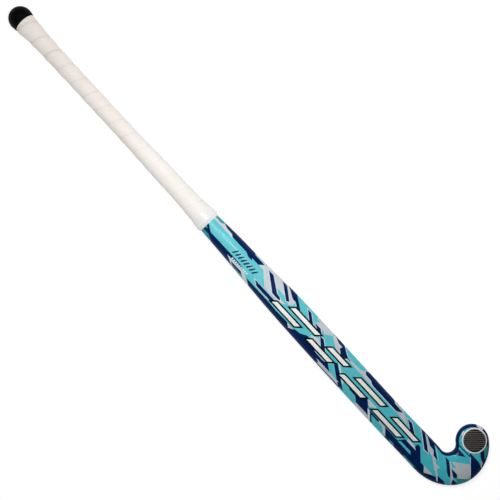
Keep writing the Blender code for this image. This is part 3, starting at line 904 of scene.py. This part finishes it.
def film(name, rows, part, materials, node):
    """A thin film laid on the back: a grid of plan points with a lower and an upper surface."""
    bm = bmesh.new()
    sheets = []
    for lift in (FILM_LOW, FILM_HIGH):
        sheet = []
        for row in rows:
            sheet.append([bm.verts.new(to_frame(x, y, back_height(x, y) + lift)) for x, y in row])
        sheets.append(sheet)
    for sheet in sheets:
        for j, (first, second) in enumerate(zip(sheet, sheet[1:])):
            for i in range(len(first) - 1):
                face = bm.faces.new((first[i], first[i + 1], second[i + 1], second[i]))
                face.material_index = part(i, j)
    rims = []
    for sheet in sheets:
        right = [row[-1] for row in sheet[1:-1]]
        left = [row[0] for row in sheet[1:-1]]
        rims.append(sheet[0] + right + sheet[-1][::-1] + left[::-1])
    join_rings(bm, *rims)
    bmesh.ops.recalc_face_normals(bm, faces=bm.faces)
    piece = make_object(name, bm, materials, sharp_from=FILM_FOLD)
    settle(piece, "white_film", node)


BAR_HEIGHT = 9.6
BAR_OUTLINE = 2.2
BAR_SPACING = (2.0, 1.6)
BAR_ROWS = {
    "upper": (0.6, [(567, 633), (642, 692), (701, 769), (778, 838)]),
    "lower": (-12.4, [(543, 605), (614, 672), (681, 741), (750, 817)]),
}


def outlined_steps(length, border, spacing):
    """Steps with one border-wide step at each end."""
    return [0.0] + steps(border, length - border, spacing) + [length]


def make_bar_decals():
    """White bars with black outlines and ends at 45 degrees, in two staggered rows."""
    materials = [lacquered_print(f"{name}_film", PAINTS[name]) for name in ("black", "white")]
    for row_name, (low, spans) in BAR_ROWS.items():
        for number, (start, end) in enumerate(spans, 1):
            length = end - BAR_HEIGHT - start
            lengthways = outlined_steps(length, BAR_OUTLINE * sqrt(2), BAR_SPACING[0])
            across = outlined_steps(BAR_HEIGHT, BAR_OUTLINE, BAR_SPACING[1])
            rows = [[(start + way + rise, low + rise) for way in lengthways] for rise in across]
            last_column, last_row = len(lengthways) - 2, len(across) - 2

            def part(i, j):
                return 0 if i in (0, last_column) or j in (0, last_row) else 1

            node = f"{row_name}_bar_decal_{number}"
            film(f"{row_name}_bar_{number}", rows, part, materials, node)


BADGE_CENTRE = (887.1, 66.4)
BADGE_RADIUS = 17.9
BADGE_RING = (16.1, 17.8)
BADGE_RADII = [BADGE_RADIUS, BADGE_RING[1], BADGE_RING[0], 13.7, 11.2, 8.9, 6.6, 4.3, 2.0]
BADGE_POINTS = 72
BADGE_TOP = 0.3
HATCH_ANGLE = radians(47.4)
HATCH_SPACING = 2.8
HATCH_WIDTH = 1.05
HATCH_REACH = 20
RING_SLOT, HATCH_SLOT = 1, 2


def make_badge():
    """A round dark badge with a white ring and plain hatching, laid over the dome of the toe."""
    bm = bmesh.new()
    place = bm.verts.layers.float_vector.new("place")
    flat = bm.verts.layers.float_vector.new("flat")
    zone_layer = bm.faces.layers.int.new("zone")
    rims = []

    def add(point, lift):
        vert = bm.verts.new()
        vert[place] = to_frame(*point, back_height(*point) + lift)
        vert[flat] = (*point, 0)
        return vert

    for lift in (FILM_LOW, BADGE_TOP):
        rings = []
        for radius in BADGE_RADII:
            rings.append([add(swung(BADGE_CENTRE, radius, turn), lift) for turn in full_turn(BADGE_POINTS)])
        middle = add(BADGE_CENTRE, lift)
        for ring_number, (first, second) in enumerate(zip(rings, rings[1:])):
            for face in join_rings(bm, first, second):
                face.material_index = RING_SLOT if ring_number == 1 else 0
                face[zone_layer] = BACK_ZONE if ring_number > 1 and lift > FILM_LOW else 0
        for i in range(BADGE_POINTS):
            face = bm.faces.new((rings[-1][i], rings[-1][(i + 1) % BADGE_POINTS], middle))
            face[zone_layer] = BACK_ZONE if lift > FILM_LOW else 0
        rims.append(rings[0])
    join_rings(bm, *rims)
    for vert in bm.verts:
        vert.co = vert[flat]
    way = Vector((cos(HATCH_ANGLE), sin(HATCH_ANGLE)))
    side = Vector((-way.y, way.x))
    lines = floor(BADGE_RING[0] / HATCH_SPACING)
    for i in range(-lines, lines + 1):
        middle = Vector(BADGE_CENTRE) + side * (i + 0.5) * HATCH_SPACING
        half_line, half_width = way * HATCH_REACH, side * HATCH_WIDTH / 2
        corners = []
        for end, edge in ((-1, -1), (1, -1), (1, 1), (-1, 1)):
            corners.append(tuple(middle + half_line * end + half_width * edge))
        cut_and_paint(bm, zone_layer, BACK_ZONE, corners, HATCH_SLOT)
    for vert in bm.verts:
        vert.co = vert[place]
    bmesh.ops.recalc_face_normals(bm, faces=bm.faces)
    materials = [badge_material(), lacquered_print("badge_ring", RING_WHITE), hatch_material()]
    badge = make_object("toe_badge_film", bm, materials, sharp_from=FILM_FOLD)
    settle(badge, "dark_badge_film", "toe_badge")


def handle_ring(x, outset, points):
    """A ring round the handle at a distance from the bare stick; the distance may vary with the turn."""
    heel_side, toe_side = along(BARE_STICK, 1, x), along(BARE_STICK, 2, x)
    half_height = along(BARE_STICK, 3, x) / 2
    middle_y = (toe_side - heel_side) / 2
    middle_z = bow_height(x) + HEAD_THICKNESS / 2
    ring = []
    for turn in full_turn(points):
        out = outset(turn) if callable(outset) else outset
        y = middle_y + ((toe_side + heel_side) / 2 + out) * cos(turn)
        ring.append((x, y, middle_z + (half_height + out) * sin(turn)))
    return ring


def round_ring(x, radius, points):
    """A round ring about the handle's middle line."""
    middle = bow_height(x) + HEAD_THICKNESS / 2
    return [(x, radius * cos(turn), middle + radius * sin(turn)) for turn in full_turn(points)]


def ring_noise(x, turn, size, radius, start=0.0):
    """Noise that meets itself round the handle, and is finer round it the larger the radius."""
    return noise.noise(Vector((x / size + start, radius * cos(turn), radius * sin(turn))))


def sleeve(bm, outer, inner, capped=False):
    """A closed sleeve between two sets of rings, or a cap whose last rings are filled in."""
    surfaces = []
    for rings in (outer, inner):
        verts = [[bm.verts.new(to_frame(*point)) for point in ring] for ring in rings]
        for first, second in zip(verts, verts[1:]):
            join_rings(bm, first, second)
        if capped:
            bm.faces.new(verts[-1])
        surfaces.append(verts)
    join_rings(bm, surfaces[0][0], surfaces[1][0])
    if not capped:
        join_rings(bm, surfaces[0][-1], surfaces[1][-1])
    bmesh.ops.recalc_face_normals(bm, faces=bm.faces)


WRAP_PITCH = 26.3
WRAP_FIRST_SEAM = 53.5
WRAP_STEP = 0.62
GRIP_INSIDE = 1.5
GRIP_OUTSIDE = 2.0
WORN_SWELL = 0.2
FOLD_HEIGHT, DENT_HEIGHT = 0.07, 0.16
FOLDS, DENTS = (5.0, 3), (16.0, 1.3, 40)  # what ring_noise takes after the place and turn
GRIP_POINTS = 84
GRIP_SPACING = 0.9
INNER_SPACING = 14


def wrap_phase(x, turn):
    """How far a point is from the last seam of the winding, as a share of the pitch."""
    wander = 0.5 * sin(x / 31.0) + 0.35 * sin(x / 13.0 + 1.0)
    along_wrap = (x + wander - WRAP_FIRST_SEAM) / WRAP_PITCH + (turn - pi) / (2 * pi)
    return along_wrap - floor(along_wrap)


def seam_strength(x):
    """The seams are plain near the butt and pressed flat towards the collar, each a little differently."""
    worn = mix(1.0, 0.4, smooth_step(110, 300, x))
    return worn * (0.8 + 0.35 * sin(x / 17.0) * sin(x / 41.0 + 2.0))


def wrap_height(phase):
    """The tape's edge stands up at the seam and sinks as the tape leaves the turn below."""
    edge = smooth_step(0.0, 0.085, phase)
    sink = 1 - 0.95 * smooth_step(0.16, 0.75, phase)
    return WRAP_STEP * edge * sink


def make_grip():
    """The wound tape: a helical lap with a raised edge, small folds and creases, and a painted shade value
    along its seams.
    """
    bm = bmesh.new()
    places = steps(GRIP_START, GRIP_END, GRIP_SPACING)

    def outset_at(x):
        def outset(turn):
            fold = ring_noise(x, turn, *FOLDS)
            dent = ring_noise(x, turn, *DENTS)
            strength = seam_strength(x)
            seam = strength * wrap_height(wrap_phase(x, turn)) + WORN_SWELL * (1 - strength)
            return GRIP_OUTSIDE + seam + FOLD_HEIGHT * fold + DENT_HEIGHT * dent

        return outset

    outer = [handle_ring(x, outset_at(x), GRIP_POINTS) for x in places]
    inner = [handle_ring(x, GRIP_INSIDE, GRIP_POINTS) for x in steps(GRIP_START, GRIP_END, INNER_SPACING)]
    sleeve(bm, outer, inner)
    grip = make_object("wound_grip", bm, [grip_tape_material()], sharp_from=WRAP_FOLD)
    # Painted shade: a value along the foot and edge of each lap seam, where the raised edge shades the tape.
    seam_shade = grip.data.attributes.new("seam_shade", "FLOAT", "POINT")
    for i, x in enumerate(places):
        for j, turn in enumerate(full_turn(GRIP_POINTS)):
            phase = wrap_phase(x, turn)
            low_side = smooth_step(0.86, 0.985, phase)
            high_side = 1 - smooth_step(0.0, 0.03, phase)
            seam_shade.data[i * GRIP_POINTS + j].value = seam_strength(x) * max(low_side, high_side)
    settle(grip, "white_grip_tape", "grip_tape")


COLLAR_PROFILE = [
    (392.6, 2.55),
    (392.9, 2.85),
    (395.0, 2.95),
    (398.2, 3.30),
    (401.4, 2.95),
    (404.2, 3.10),
    (406.8, 2.00),
    (409.0, 0.62),
    (409.4, 0.40),
]
COLLAR_START, COLLAR_END = COLLAR_PROFILE[0][0], COLLAR_PROFILE[-1][0]
COLLAR_THICKNESS = 0.35
COLLAR_POINTS = 96
COLLAR_SPACING = (0.35, 1.5)
LAP_START, LAP_PITCH, LAP_HEIGHT = 393, 5.2, 0.10
RIPPLE_HEIGHT = 0.04
RIPPLES = (2.5, 4)


def make_collar():
    """The stretched finishing tape: glossy, with the edges of its turns showing."""
    bm = bmesh.new()

    def outset_at(x):
        base = along(COLLAR_PROFILE, 1, x)

        def outset(turn):
            lap = (x - LAP_START) / LAP_PITCH + turn / (2 * pi)
            lap -= floor(lap)
            edge = (1 - smooth_step(0.0, 0.9, lap)) * smooth_step(0.0, 0.06, lap)
            return base + LAP_HEIGHT * edge + RIPPLE_HEIGHT * ring_noise(x, turn, *RIPPLES)

        return outset

    outer_places, inner_places = (steps(COLLAR_START, COLLAR_END, spacing) for spacing in COLLAR_SPACING)
    outer = [handle_ring(x, outset_at(x), COLLAR_POINTS) for x in outer_places]
    inner = []
    for x in inner_places:
        inner.append(handle_ring(x, along(COLLAR_PROFILE, 1, x) - COLLAR_THICKNESS, COLLAR_POINTS))
    sleeve(bm, outer, inner)
    collar = make_object("finishing_tape", bm, [finishing_tape_material()], sharp_from=WRAP_FOLD)
    settle(collar, "white_finishing_tape", "grip_end_collar")


CAP_LIP = CAP_RIM - 0.1
CAP_SKIRT = [
    (CAP_LIP, 15.2),
    (CAP_RIM, 15.9),
    (CAP_RIM - 0.5, 16.35),
    (23.2, 16.55),
    (20.0, 16.95),
]
CAP_CLEARANCE = 0.3
CAP_BORE_MIDDLE = 14.0
CAP_POINTS = 96
CAP_SPACING = radians(5)


def make_cap():
    """The rubber butt cap: a dome with a tapering skirt and a rolled rim."""
    bm = bmesh.new()
    profile = list(CAP_SKIRT)
    for turn in steps(0, pi / 2, CAP_SPACING)[:-1]:
        profile.append((CAP_DOME * (1 - sin(turn)), CAP_RADIUS * cos(turn)))
    bore = along(BARE_STICK, 1, CAP_DOME) + CAP_CLEARANCE
    bore_places = (CAP_LIP, CAP_BORE_MIDDLE, BUTT_END - CAP_CLEARANCE)
    outer = [round_ring(x, radius, CAP_POINTS) for x, radius in profile]
    inner = [round_ring(x, bore, CAP_POINTS) for x in bore_places]
    sleeve(bm, outer, inner, capped=True)
    cap = make_object("rubber_butt_cap", bm, [rubber_material()], sharp_from=WRAP_FOLD)
    settle(cap, "black_rubber", "butt_cap")


# ---- Floor, lights and camera: places in station-line millimetres, sizes and distances in metres.

FLOOR_HALF_SIDE = 6.0
FLOOR_CELLS = 8
FLOOR_GAP = 0.0002
HORIZON_GLOW, OVERHEAD_GLOW = 0.42, 0.01
GLOW_FADE_END = 0.42
KEY_PLACE = (330, 105, 840)
KEY_TARGET = (400, 0, 20)
KEY_SIZE = (0.36, 0.30)
KEY_POWER = 7.4
CAMERA_AIM = (475.3, 16.1, 13.0)
CAMERA_DISTANCE = 1.27
CAMERA_TURN = radians(47.29)
PICTURE_WIDTH = 0.7060
SENSOR_WIDTH = 36.0
FARTHEST_SEEN = 20.0


def make_floor():
    bm = bmesh.new()
    bmesh.ops.create_grid(bm, x_segments=FLOOR_CELLS, y_segments=FLOOR_CELLS, size=FLOOR_HALF_SIDE)
    floor_piece = make_object("floor", bm, [floor_material()])
    floor_piece.location.z = cad_box[0][2] - FLOOR_GAP


def make_world():
    """A white surround that glows weakly at the horizon and fades out overhead."""
    world = bpy.data.worlds.new("studio")
    world.use_nodes = True
    nodes, links = world.node_tree.nodes, world.node_tree.links
    direction = nodes.new("ShaderNodeTexCoord").outputs["Generated"]
    split = nodes.new("ShaderNodeSeparateXYZ")
    links.new(direction, split.inputs[0])
    fade = nodes.new("ShaderNodeMapRange")
    fade.interpolation_type = "SMOOTHSTEP"
    for name, value in zip(REMAP_INPUTS, (0.0, GLOW_FADE_END, HORIZON_GLOW, OVERHEAD_GLOW)):
        fade.inputs[name].default_value = value
    links.new(split.outputs["Z"], fade.inputs["Value"])
    links.new(fade.outputs["Result"], nodes["Background"].inputs["Strength"])
    nodes["Background"].inputs["Color"].default_value = (1, 1, 1, 1)
    bpy.context.scene.world = world


def make_key_light():
    """One softbox high over the stick."""
    key = bpy.data.lights.new("key_softbox", "AREA")
    key.shape = "RECTANGLE"
    key.size, key.size_y = KEY_SIZE
    key.energy = KEY_POWER
    lamp = bpy.data.objects.new("key_softbox", key)
    lamp.location = to_frame(*KEY_PLACE)
    lamp.rotation_euler = (to_frame(*KEY_TARGET) - lamp.location).to_track_quat("-Z", "Y").to_euler()
    bpy.context.scene.collection.objects.link(lamp)


def make_camera():
    """Straight above the stick, turned so that the handle is at the upper left."""
    scene = bpy.context.scene
    camera = bpy.data.cameras.new("camera")
    camera.sensor_width = SENSOR_WIDTH
    camera.lens = SENSOR_WIDTH * CAMERA_DISTANCE / PICTURE_WIDTH
    camera.clip_end = FARTHEST_SEEN
    holder = bpy.data.objects.new("camera", camera)
    holder.location = to_frame(*CAMERA_AIM) + Vector((0, 0, CAMERA_DISTANCE))
    holder.rotation_euler = (0, 0, CAMERA_TURN)
    scene.collection.objects.link(holder)
    scene.camera = holder
    scene.view_settings.view_transform = "Standard"


def dress_cad_nodes():
    """Node materials for the CAD pieces that stay as they are."""
    foam = foam_material("foam", (0.83, 0.74, 0.50), 1.2)
    looks = {
        "toe_side_tube": laminate_material(),
        "toe_side_bladder": film_material(),
        "head_foam_core": foam,
        "handle_plug": foam,
        "grip_underlay": foam_material("cushion_foam", (0.35, 0.35, 0.36), 0.8),
        "face_reinforcement_patch": aramid_material(),
    }
    looks["heel_side_tube"] = looks["toe_side_tube"]
    looks["heel_side_bladder"] = looks["toe_side_bladder"]
    for name, look in looks.items():
        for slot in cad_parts[name].material_slots:
            slot.material = look


make_floor()
make_world()
make_key_light()
make_camera()
make_skin()
make_bar_decals()
make_badge()
make_grip()
make_collar()
make_cap()
dress_cad_nodes()
